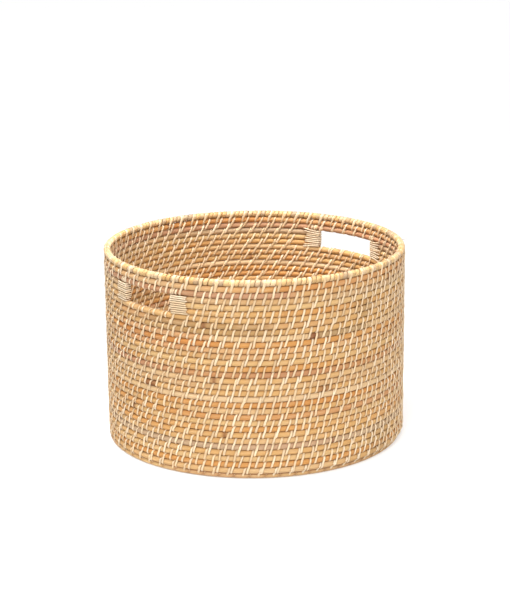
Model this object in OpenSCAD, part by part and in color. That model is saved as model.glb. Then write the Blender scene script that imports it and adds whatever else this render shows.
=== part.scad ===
// Coiled rattan storage basket: a straight round wall of stacked rods, stitched
// course to course with split cane, a closely wrapped rim, and two cut-out hand
// slots, each bound with cane at both ends.
// Origin: centre of the base, on the floor.  +Z is up.  The hand slots are cut
// through the wall on the -X side (left) and the +X side (right).

/* [Basket] */
// Outside diameter over the wrapped rim
basket_d = 400; // [240:1:600]
// Number of rod courses from the floor to the rim
courses = 33; // [20:1:40]

/* [Rods] */
// Diameter of the rattan rods in the wall and base
rod_d = 7.3; // [5:0.1:10]
// Space between one course and the next, where the cane passes
course_gap = 0.6; // [0.6:0.05:1.2]
// Gap between the two cut ends where a rod meets the next one
butt_gap = 0.8; // [0.2:0.1:2]
// Height of the flat worn on the underside of the base rods
foot_flat = 0.25; // [0.1:0.05:0.6]

/* [Rim] */
// Diameter of the thinner rod inside the rim
rim_rod_d = 6.7; // [4:0.1:9]
// Thickness of the cane wrapped round the rim rod
rim_wrap_t = 0.5; // [0.3:0.05:1]
// Space between the wrapped rim and the course below
rim_gap = 0.35; // [0.1:0.05:0.6]
// Number of long stitches that tie the rim to the course below
rim_stitch_count = 64; // [32:1:80]

/* [Hand slots] */
// Width of the left hand slot, along the wall
left_slot_w = 79; // [60:1:110]
// Width of the right hand slot, along the wall
right_slot_w = 95; // [60:1:110]
// Turn of the left hand slot about the axis, from straight left
left_slot_turn = -1.1; // [-4:0.1:4]
// Length of the cane binding at each end of a slot
binding_l = 21; // [10:1:30]
// Number of cane strips in one binding
binding_strips = 9; // [6:1:9]

/* [Cane] */
// Width of a cane strip
cane_w = 2.1; // [1:0.1:2.2]
// Thickness of a cane strip
cane_t = 0.45; // [0.3:0.05:0.5]
// Clear space between the cane and what it is wound on
cane_gap = 0.05; // [0.03:0.01:0.08]
// Width of the cane that passes between two rods
seam_w = 3.6; // [2:0.1:5]

/* [Hidden] */
$fn = 48;

// Radii of the wall
rod_r = rod_d / 2;
rim_r = rim_rod_d / 2 + cane_gap + rim_wrap_t;
wall_r = basket_d / 2 - rim_r;
base_z = rod_r - foot_flat;
course_pitch = rod_d + course_gap;

// Courses: the last turn of the base is course 1 and the rim rod is the last course
slot_courses = 3;
courses_over_slot = 3;
slot_top_course = courses - courses_over_slot;
slot_low_course = slot_top_course - slot_courses + 1;

// Coiled base: a spiral of half turns, struck in turn from two centres
base_rods = 6;
half_turn_step = course_pitch / 2;
last_half_turn_r = wall_r - course_pitch / 4;
half_turns = floor((last_half_turn_r - rod_r - 0.5) / half_turn_step) + 1;
base_end_angle = 112;

// Where the ends of each wall rod meet
first_butt_angle = 14.3;
butt_angle_step = 159.6;

// Hand slots
slot_clear_h = (slot_courses + 1) * course_pitch - rod_d;
strip_pitch = slot_clear_h / binding_strips;
cap_t = cane_gap + cane_t;
binding_reach = rod_r + cap_t;
left_slot_angle = 180 + left_slot_turn;
left_slot_reach = slot_half_angle(left_slot_w) + arc_angle(cap_t);
right_slot_reach = slot_half_angle(right_slot_w) + arc_angle(cap_t);

// The cane between two rods fills the space that they leave
seam_t = course_gap - 2 * cane_gap;

// The rim rod lies over the last course of the wall
rim_rise = rod_r + rim_gap + rim_r;
rim_z = course_z(courses - 1) + rim_rise;
rim_stitch_space = 360 / rim_stitch_count;

// Rattan and cane colours
rod_tones = ["#dba873", "#d9995a", "#cf9a6c", "#cfae86", "#e0b583"];
cane_tone = "#ecdcb4";

function course_z(c) = base_z + (c - 1) * course_pitch;
function two_digits(c) = c < 10 ? str("0", c) : str(c);
function wall_rod_name(c) = str("wall_rod_", two_digits(c));
function slot_rod_name(c, side) = str("slot_rod_", c, "_", side);
function arc_angle(length) = length / wall_r * 180 / PI;
function tone(c) = rod_tones[(c * 3) % len(rod_tones)];
function butt_angle(c) = first_butt_angle + c * butt_angle_step;
function slot_half_angle(w) = arc_angle(w / 2);
function slot_rod_start(side) = side == "back" ? right_slot_reach : left_slot_angle + left_slot_reach;
function slot_rod_end(side) = side == "back" ? left_slot_angle - left_slot_reach : 360 - right_slot_reach;
function slot_rod_sweep(side) = slot_rod_end(side) - slot_rod_start(side);
function half_turn_r(k) = last_half_turn_r - (half_turns - 1 - k) * half_turn_step;
function base_rod_start(i) = round(half_turns * sqrt((i - 1) / base_rods));

full_courses = concat([for (c = [2 : slot_low_course - 1]) c],
                      [for (c = [slot_top_course + 1 : courses - 1]) c]);

// Bands of stitching between courses: [name, lowest course tied, highest course tied]
wall_third = round((slot_low_course - 1) / 3);
stitching_bands = [
    ["wall_stitching_low", 1, wall_third],
    ["wall_stitching_middle", wall_third, 2 * wall_third],
    ["wall_stitching_high", 2 * wall_third, slot_low_course - 1],
    ["slot_stitching", slot_low_course - 1, slot_top_course + 1]
];

// An arc of rod in a level course, from angle a0 over a sweep
module rod_arc(z, a0, sweep, d) {
    translate([0, 0, z]) rotate([0, 0, a0])
        rotate_extrude(angle = sweep) translate([wall_r, 0]) circle(d = d);
}

// One rod of the coiled base.  Rod 1 starts at the centre; the last turn of the
// last rod is the bottom course of the wall
module base_rod(i) {
    first = base_rod_start(i);
    last = base_rod_start(i + 1) - 1;
    color(tone(i)) rotate([0, 0, base_end_angle]) mirror([0, 1, 0]) difference() {
        rotate([0, 0, (half_turns % 2) * 180]) translate([0, 0, base_z])
            for (k = [first : last]) {
                r = half_turn_r(k);
                trim = k == last ? butt_gap / r * 180 / PI : 0;
                rotate([0, 0, (k % 2) * 180]) translate([-course_pitch / 4, 0, 0])
                    rotate_extrude(angle = 180 - trim) translate([r, 0]) circle(d = rod_d);
            }
        translate([-basket_d, -basket_d, -rod_d]) cube([2 * basket_d, 2 * basket_d, rod_d]);
    }
}

// One full course of the wall, its two ends nearly meeting
module wall_rod(c) {
    color(tone(c)) rod_arc(course_z(c), butt_angle(c), 360 - arc_angle(butt_gap), rod_d);
}

// The thinner rod inside the rim
module rim_rod() {
    color(tone(courses))
        rod_arc(rim_z, butt_angle(courses), 360 - arc_angle(butt_gap), rim_rod_d);
}

// The rod of a course cut by the hand slots, from slot to slot
module slot_rod(c, side) {
    color(tone(c)) rod_arc(course_z(c), slot_rod_start(side), slot_rod_sweep(side), rod_d);
}

// Sleeve of cane wound closely round the rim rod
module rim_wrap() {
    color(cane_tone) translate([0, 0, rim_z])
        rotate_extrude() translate([wall_r, 0]) difference() {
            circle(r = rim_r);
            circle(r = rim_r - rim_wrap_t);
        }
}

// Outline round the last course of the wall and the rim above it, with a margin
module outline_2d(margin) {
    low_r = rod_r + margin;
    high_r = rim_r + margin;
    lean = asin((low_r - high_r) / rim_rise);
    circle(r = low_r);
    translate([0, rim_rise]) circle(r = high_r);
    polygon([
        [low_r * cos(lean), low_r * sin(lean)],
        [high_r * cos(lean), rim_rise + high_r * sin(lean)],
        [-high_r * cos(lean), rim_rise + high_r * sin(lean)],
        [-low_r * cos(lean), low_r * sin(lean)]
    ]);
}

// Long stitches, each a loop of cane over the rim and the course below it
module rim_stitches() {
    color(cane_tone) for (s = [0 : rim_stitch_count - 1])
        rotate([0, 0, s * rim_stitch_space])
            translate([wall_r, cane_w / 2, course_z(courses - 1)]) rotate([90, 0, 0])
                linear_extrude(cane_w) difference() {
                    outline_2d(cap_t);
                    outline_2d(cane_gap);
                }
}

// The cane between two level courses, joined into one thin ring or arc
module seam(c, a0 = 0, sweep = 360) {
    translate([0, 0, course_z(c) + course_pitch / 2]) rotate([0, 0, a0])
        rotate_extrude(angle = sweep) translate([wall_r, 0])
            square([seam_w, seam_t], center = true);
}

// Stitching that ties the courses from first to last, cut away at the hand slots
module wall_stitching(first, last) {
    color(cane_tone) for (c = [first : last - 1])
        if (c >= slot_low_course - 1 && c <= slot_top_course)
            for (side = ["front", "back"])
                seam(c, slot_rod_start(side), slot_rod_sweep(side));
        else seam(c);
}

// Stitching under the last course of the wall, which leaves room for the rim stitches
module top_stitching() {
    room = arc_angle(cane_w / 2 + cane_gap);
    color(cane_tone) for (s = [0 : rim_stitch_count - 1])
        seam(courses - 2, s * rim_stitch_space + room, rim_stitch_space - 2 * room);
}

// Stitching of the base: a thin upright strip between the passes of the spiral
module base_stitching() {
    color(cane_tone) rotate([0, 0, base_end_angle]) mirror([0, 1, 0])
        rotate([0, 0, (half_turns % 2) * 180]) translate([0, 0, base_z])
            for (k = [0 : half_turns - 3])
                rotate([0, 0, (k % 2) * 180]) translate([-course_pitch / 4, 0, 0])
                    rotate_extrude(angle = 180)
                        translate([half_turn_r(k) + course_pitch / 2, 0])
                            square([seam_t, seam_w], center = true);
}

// Cane strips round the cut ends of the rods at one end of a slot.  The end lies
// at an angle, and the binding runs from it in the direction of turn, 1 or -1
module slot_binding(angle, turn) {
    sweep = arc_angle(binding_l);
    cap = arc_angle(cane_t);
    mid_z = course_z((slot_low_course + slot_top_course) / 2);
    color(cane_tone) rotate([0, 0, angle]) mirror([0, turn < 0 ? 1 : 0, 0])
        for (s = [0 : binding_strips - 1])
            translate([0, 0, mid_z + (s - (binding_strips - 1) / 2) * strip_pitch]) difference() {
                rotate_extrude(angle = sweep) translate([wall_r, 0])
                    square([2 * binding_reach, cane_w], center = true);
                rotate([0, 0, cap]) rotate_extrude(angle = sweep) translate([wall_r, 0])
                    square([2 * (rod_r + cane_gap), cane_w + 1], center = true);
            }
}

for (i = [1 : base_rods])
    base_rod(i);
for (c = full_courses)
    wall_rod(c);
for (c = [slot_low_course : slot_top_course], side = ["front", "back"])
    slot_rod(c, side);
rim_rod();
rim_wrap();
rim_stitches();
slot_binding(left_slot_angle + slot_half_angle(left_slot_w), 1);  // left_slot_binding_front
slot_binding(left_slot_angle - slot_half_angle(left_slot_w), -1);  // left_slot_binding_back
slot_binding(-slot_half_angle(right_slot_w), -1);  // right_slot_binding_front
slot_binding(slot_half_angle(right_slot_w), 1);  // right_slot_binding_back
base_stitching();
top_stitching();
for (band = stitching_bands)
    wall_stitching(band[1], band[2]);
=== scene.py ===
"""Looks of a coiled rattan storage basket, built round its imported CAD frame.

Every rod is swept along the centre line of its CAD course, and every strand of cane is laid over the rods
that it ties, stitch by stitch. Lengths are in metres and angles in radians unless a name says otherwise.
"""
import logging
import math
from dataclasses import dataclass, field
from enum import Enum
from typing import Callable, Sequence

import bmesh
import bpy
import numpy as np
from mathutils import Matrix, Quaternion, Vector, kdtree


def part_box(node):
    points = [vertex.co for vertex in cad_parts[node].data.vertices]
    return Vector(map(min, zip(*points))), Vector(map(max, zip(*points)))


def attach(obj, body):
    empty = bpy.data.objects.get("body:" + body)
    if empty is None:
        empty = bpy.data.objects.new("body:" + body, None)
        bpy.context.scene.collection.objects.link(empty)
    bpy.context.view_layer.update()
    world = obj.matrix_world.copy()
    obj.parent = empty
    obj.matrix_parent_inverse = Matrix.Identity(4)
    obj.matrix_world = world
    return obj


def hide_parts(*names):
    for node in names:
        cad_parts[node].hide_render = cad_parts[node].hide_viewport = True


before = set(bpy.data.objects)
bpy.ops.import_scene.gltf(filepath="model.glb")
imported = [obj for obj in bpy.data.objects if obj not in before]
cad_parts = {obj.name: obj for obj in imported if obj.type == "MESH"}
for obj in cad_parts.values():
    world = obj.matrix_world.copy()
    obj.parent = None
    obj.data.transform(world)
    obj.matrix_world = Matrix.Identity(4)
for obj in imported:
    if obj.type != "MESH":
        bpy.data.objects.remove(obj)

Array = np.ndarray
MM = 0.001
TURN = 2 * math.pi
log = logging.getLogger("basket")


# ---------------------------------------------------------------- colours


def linear(red: int, green: int, blue: int) -> tuple[float, float, float]:
    """Gives an sRGB colour, each part from 0 to 255, as linear light."""
    parts = (c / 255 for c in (red, green, blue))
    return tuple(c / 12.92 if c < 0.04045 else ((c + 0.055) / 1.055) ** 2.4 for c in parts)


class Tone(Enum):
    """Natural colours of peeled rattan and split cane."""

    HONEY = linear(184, 146, 95)
    AMBER = linear(182, 133, 77)
    ROSE = linear(168, 127, 97)
    STRAW = linear(188, 156, 109)
    ASH = linear(167, 143, 115)
    PALE = linear(193, 166, 130)
    CREAM = linear(206, 183, 151)
    IVORY = linear(212, 193, 166)
    WHEAT = linear(191, 160, 113)
    # Brown of bark flecks and node scars; also the colour of painted shade in the rods' grooves, beside the
    # cane, along the cane's edges, on the filler between base and wall and on the rod above the left hand
    # slot.
    BARK_AND_SHADE = linear(146, 98, 57)
    RUST = linear(168, 102, 48)
    OLIVE = linear(136, 110, 74)
    SPLICE = linear(116, 68, 40)

    @property
    def opaque(self) -> tuple[float, ...]:
        """The colour with full alpha, as a colour socket takes it."""
        return (*self.value, 1.0)


def blend(first: Array, second: Array, share: Array) -> Array:
    """Mixes two rows of colours.

    Args:
        first: Colours where share is 0.
        second: Colours where share is 1.
        share: One number from 0 to 1 for each row.

    Returns:
        The mixed colours, one row each.
    """
    share = np.clip(np.asarray(share, float), 0, 1)[..., None]
    return np.asarray(first) * (1 - share) + np.asarray(second) * share


# ---------------------------------------------------------------- shader maths


class Field:
    """A number that varies over a surface: a node socket that takes part in sums."""

    def __init__(self, graph: "Graph", socket: bpy.types.NodeSocket) -> None:
        """Wraps a socket of a graph."""
        self.graph = graph
        self.socket = socket

    def _math(self, operation: str, first: object, second: object) -> "Field":
        """Adds one Math node and gives its result."""
        return self.graph.add("ShaderNodeMath", {"operation": operation}, {0: first, 1: second}).out()

    def __add__(self, other: object) -> "Field":
        """Adds."""
        return self._math("ADD", self, other)

    __radd__ = __add__

    def __sub__(self, other: object) -> "Field":
        """Subtracts."""
        return self._math("SUBTRACT", self, other)

    def __rsub__(self, other: object) -> "Field":
        """Subtracts this from a number."""
        return self._math("SUBTRACT", other, self)

    def __mul__(self, other: object) -> "Field":
        """Multiplies."""
        return self._math("MULTIPLY", self, other)

    __rmul__ = __mul__

    def clamp(self) -> "Field":
        """Keeps the number from 0 to 1."""
        return self._math("MINIMUM", self._math("MAXIMUM", self, 0.0), 1.0)


@dataclass(frozen=True)
class Step:
    """A node that has been added to a graph."""

    graph: "Graph"
    node: bpy.types.Node

    def out(self, name: int | str = 0) -> Field:
        """Gives one of the node's outputs."""
        return Field(self.graph, self.node.outputs[name])


class Graph:
    """The node tree of one material, with its surface shader."""

    def __init__(self, name: str) -> None:
        """Starts a material with a plain Principled shader."""
        self.material = bpy.data.materials.new(name)
        self.material.use_nodes = True
        self.tree = self.material.node_tree
        self.shader = self.tree.nodes["Principled BSDF"]

    def add(self, kind: str, settings: dict | None = None, sockets: dict | None = None) -> Step:
        """Adds any node.

        Args:
            kind: The node's type.
            settings: Its properties, set first; "stops" holds a colour ramp's positions and colours.
            sockets: Values or fields for its inputs.

        Returns:
            The new node.
        """
        node = self.tree.nodes.new(kind)
        for key, value in (settings or {}).items():
            if key == "stops":
                self._set_stops(node.color_ramp, value)
            else:
                setattr(node, key, value)
        self.feed(node, sockets or {})
        return Step(self, node)

    def feed(self, node: bpy.types.Node, sockets: dict) -> None:
        """Sets or links a node's inputs.

        Args:
            node: The node.
            sockets: Values or fields, by the input's name or number.
        """
        for key, value in sockets.items():
            if isinstance(value, Field):
                self.tree.links.new(value.socket, node.inputs[key])
            else:
                node.inputs[key].default_value = value

    @staticmethod
    def _set_stops(ramp: bpy.types.ColorRamp, stops: Sequence[tuple[float, Sequence[float]]]) -> None:
        """Gives a colour ramp its stops.

        Args:
            ramp: The ramp.
            stops: Position and colour of each stop.
        """
        while len(ramp.elements) > len(stops):
            ramp.elements.remove(ramp.elements[-1])
        while len(ramp.elements) < len(stops):
            ramp.elements.new(1.0)
        for element, (place, colour) in zip(ramp.elements, stops):
            element.position = place
            element.color = (*colour[:3], 1.0)

    def attribute(self, name: str, output: str) -> Field:
        """Reads one of the piece's own attributes."""
        return self.add("ShaderNodeAttribute", {"attribute_name": name}).out(output)

    def stretched(self, vector: Field, scale: Sequence[float]) -> Field:
        """Scales a vector along each of its axes."""
        return self.add("ShaderNodeVectorMath", {"operation": "MULTIPLY"}, {0: vector, 1: scale}).out()

    def noise(self, vector: Field, detail: float = 2.0, roughness: float = 0.5) -> Field:
        """Gives noise from 0 to 1 about a feature wide."""
        sockets = {"Vector": vector, "Scale": 1.0, "Detail": detail, "Roughness": roughness}
        return self.add("ShaderNodeTexNoise", None, sockets).out("Fac")

    def steps(self, value: Field, low: float, high: float) -> Field:
        """Rises smoothly from 0 at low to 1 at high."""
        settings = {"interpolation_type": "SMOOTHSTEP"}
        sockets = {"Value": value, "From Min": low, "From Max": high}
        return self.add("ShaderNodeMapRange", settings, sockets).out()

    def mix(self, share: object, first: object, second: object, kind: str = "MIX") -> Field:
        """Mixes two colours."""
        settings = {"data_type": "RGBA", "blend_type": kind}
        return self.add("ShaderNodeMix", settings, {0: share, 6: first, 7: second}).out(2)

    def dress(self, base: Field, roughness: Field, height: Field, depth: float, relief: float,
              specular: float) -> bpy.types.Material:
        """Feeds the surface shader.

        Args:
            base: Colour.
            roughness: Roughness, kept from 0 to 1 here.
            height: Height of the relief, from 0 to 1.
            depth: Depth of the relief.
            relief: How much of the relief shows, from 0 to 1.
            specular: Specular level, the same all over.

        Returns:
            The finished material.
        """
        bump = self.add("ShaderNodeBump", None, {"Strength": relief, "Distance": depth, "Height": height})
        self.feed(self.shader, {"Base Color": base, "Roughness": roughness.clamp(), "Normal": bump.out(),
                                "Specular IOR Level": specular})
        return self.material


# ---------------------------------------------------------------- finishes


@dataclass(frozen=True)
class RattanFinish:
    """Peeled round rattan: long pores, slow blotches, and painted shade in the grooves between rods."""

    name: str = "peeled_rattan"
    roughness: float = 0.62
    pore_depth: float = 0.12 * MM
    relief: float = 0.6
    specular: float = 0.14

    def make(self) -> bpy.types.Material:
        """Builds the material."""
        graph = Graph(self.name)
        grain = graph.attribute("grain", "Vector")
        tone = graph.attribute("tone", "Color")
        crown = graph.attribute("crown", "Fac")
        streaks = graph.noise(graph.stretched(grain, (55.0, 2600.0, 2600.0)), 3.0, 0.6)
        pores = graph.noise(graph.stretched(grain, (260.0, 4200.0, 4200.0)), 1.0)
        blotch = graph.noise(graph.stretched(grain, (38.0, 160.0, 160.0)), 2.0)
        dark = graph.steps(streaks, 0.62, 0.36) * 0.55
        warm = graph.mix(0.8, tone, (0.86, 0.66, 0.44, 1.0), "MULTIPLY")
        light = graph.mix(graph.steps(blotch, 0.45, 0.75) * 0.35, tone, Tone.PALE.opaque)
        base = graph.mix(dark, light, warm)
        flecks = graph.steps(pores, 0.66, 0.76) * graph.steps(blotch, 0.35, 0.6) * 0.5
        base = graph.mix(flecks, base, Tone.BARK_AND_SHADE.opaque)
        # Painted shade: the rod is darkened where it faces the rods beside it, in the grooves between them.
        groove_shade = (1.0 - graph.steps(crown, 0.02, 0.66)) * (0.74 + streaks * 0.3)
        # Painted shade: the rod is darkened beside and under the cane that lies on it.
        stitch_shade = graph.attribute("contact", "Fac") * (0.55 + streaks * 0.3)
        base = graph.mix(stitch_shade.clamp(), base, Tone.BARK_AND_SHADE.opaque, "MULTIPLY")
        base = graph.mix(groove_shade.clamp(), base, Tone.BARK_AND_SHADE.opaque, "MULTIPLY")
        return graph.dress(base, self.roughness + (streaks - 0.5) * 0.25, streaks * 0.7 + pores * 0.3,
                           self.pore_depth, self.relief, self.specular)


@dataclass(frozen=True)
class CaneFinish:
    """Split cane: glossy bark side, fine long fibres, and painted shade along its edges and where it dives
    out of sight.
    """

    name: str
    roughness: float = 0.4
    edge_shade: float = 0.5
    fibre_depth: float = 0.08 * MM
    relief: float = 0.5
    specular: float = 0.22

    def make(self) -> bpy.types.Material:
        """Builds the material."""
        graph = Graph(self.name)
        grain = graph.attribute("grain", "Vector")
        tone = graph.attribute("tone", "Color")
        crown = graph.attribute("crown", "Fac")
        fibres = graph.noise(graph.stretched(grain, (90.0, 3600.0, 3600.0)), 2.0, 0.6)
        blotch = graph.noise(graph.stretched(grain, (60.0, 120.0, 120.0)), 2.0)
        darker = graph.mix(1.0, tone, (0.84, 0.68, 0.46, 1.0), "MULTIPLY")
        base = graph.mix(graph.steps(fibres, 0.6, 0.3) * 0.5, tone, darker)
        base = graph.mix(graph.steps(blotch, 0.5, 0.8) * 0.35, base, Tone.IVORY.opaque)
        # Painted shade: the strip is darkened along its edges and where it dives between the rods or into the
        # wall.
        edge = (1.0 - graph.steps(crown, 0.0, 0.45)) * self.edge_shade
        base = graph.mix(edge, base, Tone.BARK_AND_SHADE.opaque, "MULTIPLY")
        return graph.dress(base, self.roughness + (fibres - 0.5) * 0.2, fibres, self.fibre_depth, self.relief,
                           self.specular)


class Finish(Enum):
    """The record's material slots and the finishes that they take."""

    ROD = "rattan_rod"
    STITCH = "stitch_cane"
    RIM = "rim_cane"


@dataclass
class Palette:
    """The finishes, each made into a material once."""

    made: dict[Finish, bpy.types.Material] = field(default_factory=dict)

    def make(self) -> None:
        """Makes every material."""
        self.made[Finish.ROD] = RattanFinish().make()
        self.made[Finish.STITCH] = CaneFinish("split_cane").make()
        self.made[Finish.RIM] = CaneFinish("rim_cane", roughness=0.42, edge_shade=0.6).make()


# ---------------------------------------------------------------- swept shapes


SPIN_RADIUS = 20.0
UP = (0.0, 0.0, 1.0)

# Under the cane a rod gives way by this share of its radius, over this distance to each side; the same
# distance sets how far the painted shade beside the cane reaches.
PRESS_SHARE = 0.035
PRESS_SPREAD = 1.75 * MM


@dataclass
class Sweep:
    """Rings of a swept shape, and what the surface of each one is like.

    The shape's width runs along out x travel, so that its faces always point outwards.

    Attributes:
        points: Centre of each ring.
        out: Direction that the outline's height follows, for each ring.
        outline: Width and height of each corner of the cross-section.
        scale: Size of each ring's cross-section, across and out.
        tone: Colour of each ring.
        crown: How far each corner of each ring stands out of the grooves, from 0 to 1; the finishes paint
            shade where it is low.
        touch: Tree of points of the cane that lies on the shape, if any.
    """

    points: Array
    out: Array
    outline: Array
    scale: Array
    tone: Array
    crown: Array
    touch: kdtree.KDTree | None = None

    def surface(self, ring: Array, corner: Array) -> dict[str, Array]:
        """Works out the place and the look of every vertex.

        Args:
            ring: Ring of each vertex.
            corner: Corner of the outline of each vertex.

        Returns:
            Arrays named co, grain, crown, contact and tone, one row for each vertex.
        """
        travel = unit(np.gradient(self.points, axis=0))
        side = unit(np.cross(self.out, travel))
        out = np.cross(travel, side)
        size = self.scale[ring]
        across, height = (self.outline[corner] * size).T
        steps = np.linalg.norm(np.diff(self.points, axis=0), axis=1)
        along = np.concatenate([[0.0], np.cumsum(steps)])
        away = out[ring] * height[:, None] + side[ring] * across[:, None]
        # contact sets both the dent under the cane and where the rod finish paints shade beside it.
        contact = self._contact(self.points[ring] + away)
        return {
            "co": self.points[ring] + away * (1 - PRESS_SHARE * contact)[:, None],
            "grain": np.stack([along[ring], across, height], axis=1),
            "crown": self.crown[ring, corner],
            "contact": contact,
            "tone": np.concatenate([self.tone[ring], np.ones((len(ring), 1))], axis=1),
        }

    def _contact(self, places: Array) -> Array:
        """Measures how near the cane is.

        Args:
            places: Places on the surface.

        Returns:
            One number for each place, from 0 to 1 where the cane lies on it.
        """
        if self.touch is None:
            return np.zeros(len(places))
        gap = np.array([self.touch.find(place)[2] for place in places.tolist()])
        return np.exp(-(gap / PRESS_SPREAD) ** 2)


@dataclass
class Tubes:
    """Plain tubes, each spun once for its number of rings and corners."""

    made: dict[tuple[int, int], tuple[bpy.types.Mesh, Array, Array]] = field(default_factory=dict)

    def get(self, rings: int, corners: int) -> tuple[bpy.types.Mesh, Array, Array]:
        """Gives a tube, and makes it the first time.

        Args:
            rings: Number of its rings.
            corners: Number of corners of each ring.

        Returns:
            The tube, and the ring and the corner that each of its vertices belongs to.
        """
        key = (rings, corners)
        if key not in self.made:
            self.made[key] = self._spin(rings, corners)
        return self.made[key]

    @staticmethod
    def _spin(rings: int, corners: int) -> tuple[bpy.types.Mesh, Array, Array]:
        """Spins a circle half a turn and closes the ends of the tube.

        Args:
            rings: Number of its rings.
            corners: Number of corners of each ring.

        Returns:
            The tube, and the ring and the corner that each of its vertices belongs to.
        """
        bm = bmesh.new()
        made = bmesh.ops.create_circle(bm, cap_ends=False, segments=corners, radius=1.0)
        bmesh.ops.translate(bm, verts=made["verts"], vec=(SPIN_RADIUS, 0, 0))
        start = np.array([v.co[:] for v in bm.verts])
        bmesh.ops.spin(bm, geom=bm.verts[:] + bm.edges[:], cent=(0, 0, 0), axis=(0, 1, 0), angle=-math.pi,
                       steps=rings - 1, use_duplicate=False)
        bmesh.ops.holes_fill(bm, edges=[e for e in bm.edges if e.is_boundary], sides=corners)
        bmesh.ops.recalc_face_normals(bm, faces=bm.faces[:])
        for face in bm.faces:
            face.smooth = True
        mesh = bpy.data.meshes.new(f"tube_{rings}_{corners}")
        bm.to_mesh(mesh)
        bm.free()
        co = np.empty(len(mesh.vertices) * 3)
        mesh.vertices.foreach_get("co", co)
        co = co.reshape(-1, 3)
        turned = np.abs(np.arctan2(co[:, 2], co[:, 0]))
        ring = np.rint(turned / math.pi * (rings - 1)).astype(int)
        angle = np.arctan2(co[:, 1], np.hypot(co[:, 0], co[:, 2]) - SPIN_RADIUS)
        first = np.arctan2(start[:, 1], start[:, 0] - SPIN_RADIUS)
        rank = np.argsort(np.argsort(first % TURN))
        gap = np.abs((angle[:, None] - first[None, :] + math.pi) % TURN - math.pi)
        return mesh, ring, rank[np.argmin(gap, axis=1)]

    def join(self, name: str, sweeps: Sequence[Sweep]) -> bpy.types.Mesh:
        """Makes one mesh of many sweeps, with their colours as attributes.

        Args:
            name: Name of the mesh.
            sweeps: The sweeps.

        Returns:
            The mesh.
        """
        bm = bmesh.new()
        parts: list[dict[str, Array]] = []
        for sweep in sweeps:
            mesh, ring, corner = self.get(len(sweep.points), len(sweep.outline))
            bm.from_mesh(mesh)
            parts.append(sweep.surface(ring, corner))
        whole = bpy.data.meshes.new(name)
        bm.to_mesh(whole)
        bm.free()
        joined = {key: np.concatenate([part[key] for part in parts]) for key in parts[0]}
        whole.vertices.foreach_set("co", joined["co"].astype(np.float32).ravel())
        for key, kind, part in (("grain", "FLOAT_VECTOR", "vector"), ("crown", "FLOAT", "value"),
                                ("contact", "FLOAT", "value"), ("tone", "FLOAT_COLOR", "color")):
            layer = whole.attributes.new(key, kind, "POINT")
            layer.data.foreach_set(part, joined[key].astype(np.float32).ravel())
        whole.update()
        return whole

    def clear(self) -> None:
        """Deletes the plain tubes."""
        for mesh, _, _ in self.made.values():
            bpy.data.meshes.remove(mesh)
        self.made.clear()


def unit(vectors: Array) -> Array:
    """Makes each row one long."""
    return vectors / np.linalg.norm(vectors, axis=-1, keepdims=True)


def rows(value: Sequence[float], count: int) -> Array:
    """Repeats a colour or a direction, one row for each ring."""
    return np.broadcast_to(value, (count, 3))


def round_outline(corners: int, half_width: float, half_height: float) -> Array:
    """Gives the corners of an ellipse, counted from its width axis."""
    angles = np.arange(corners) * TURN / corners
    return np.stack([half_width * np.cos(angles), half_height * np.sin(angles)], axis=1)


def cane_outline(width: float, thickness: float) -> tuple[Array, Array]:
    """Gives the corners of a split cane, domed on its bark side, and how far each one stands out."""
    across = np.array([1.0, 0.66, 0.0, -0.66, -1.0]) * width / 2
    height = np.array([0.0, 0.72, 1.0, 0.72, 0.0]) * thickness
    return np.stack([across, height], axis=1), np.array([0.0, 0.7, 1.0, 0.7, 0.0])


# ---------------------------------------------------------------- layout


@dataclass(frozen=True)
class Wave:
    """Smooth chance variation round a closed course, about from -1 to 1."""

    seed: int
    low: int = 1
    high: int = 9

    def __call__(self, angle: Array) -> Array:
        """Gives the variation.

        Args:
            angle: Angles round the course.

        Returns:
            One number for each angle.
        """
        rng = np.random.default_rng(self.seed)
        total = np.zeros_like(angle)
        for count in range(self.low, self.high + 1):
            total += rng.normal() * np.sin(count * angle + rng.uniform(0, TURN))
        return total / math.sqrt(max(1, self.high - self.low + 1))


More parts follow.
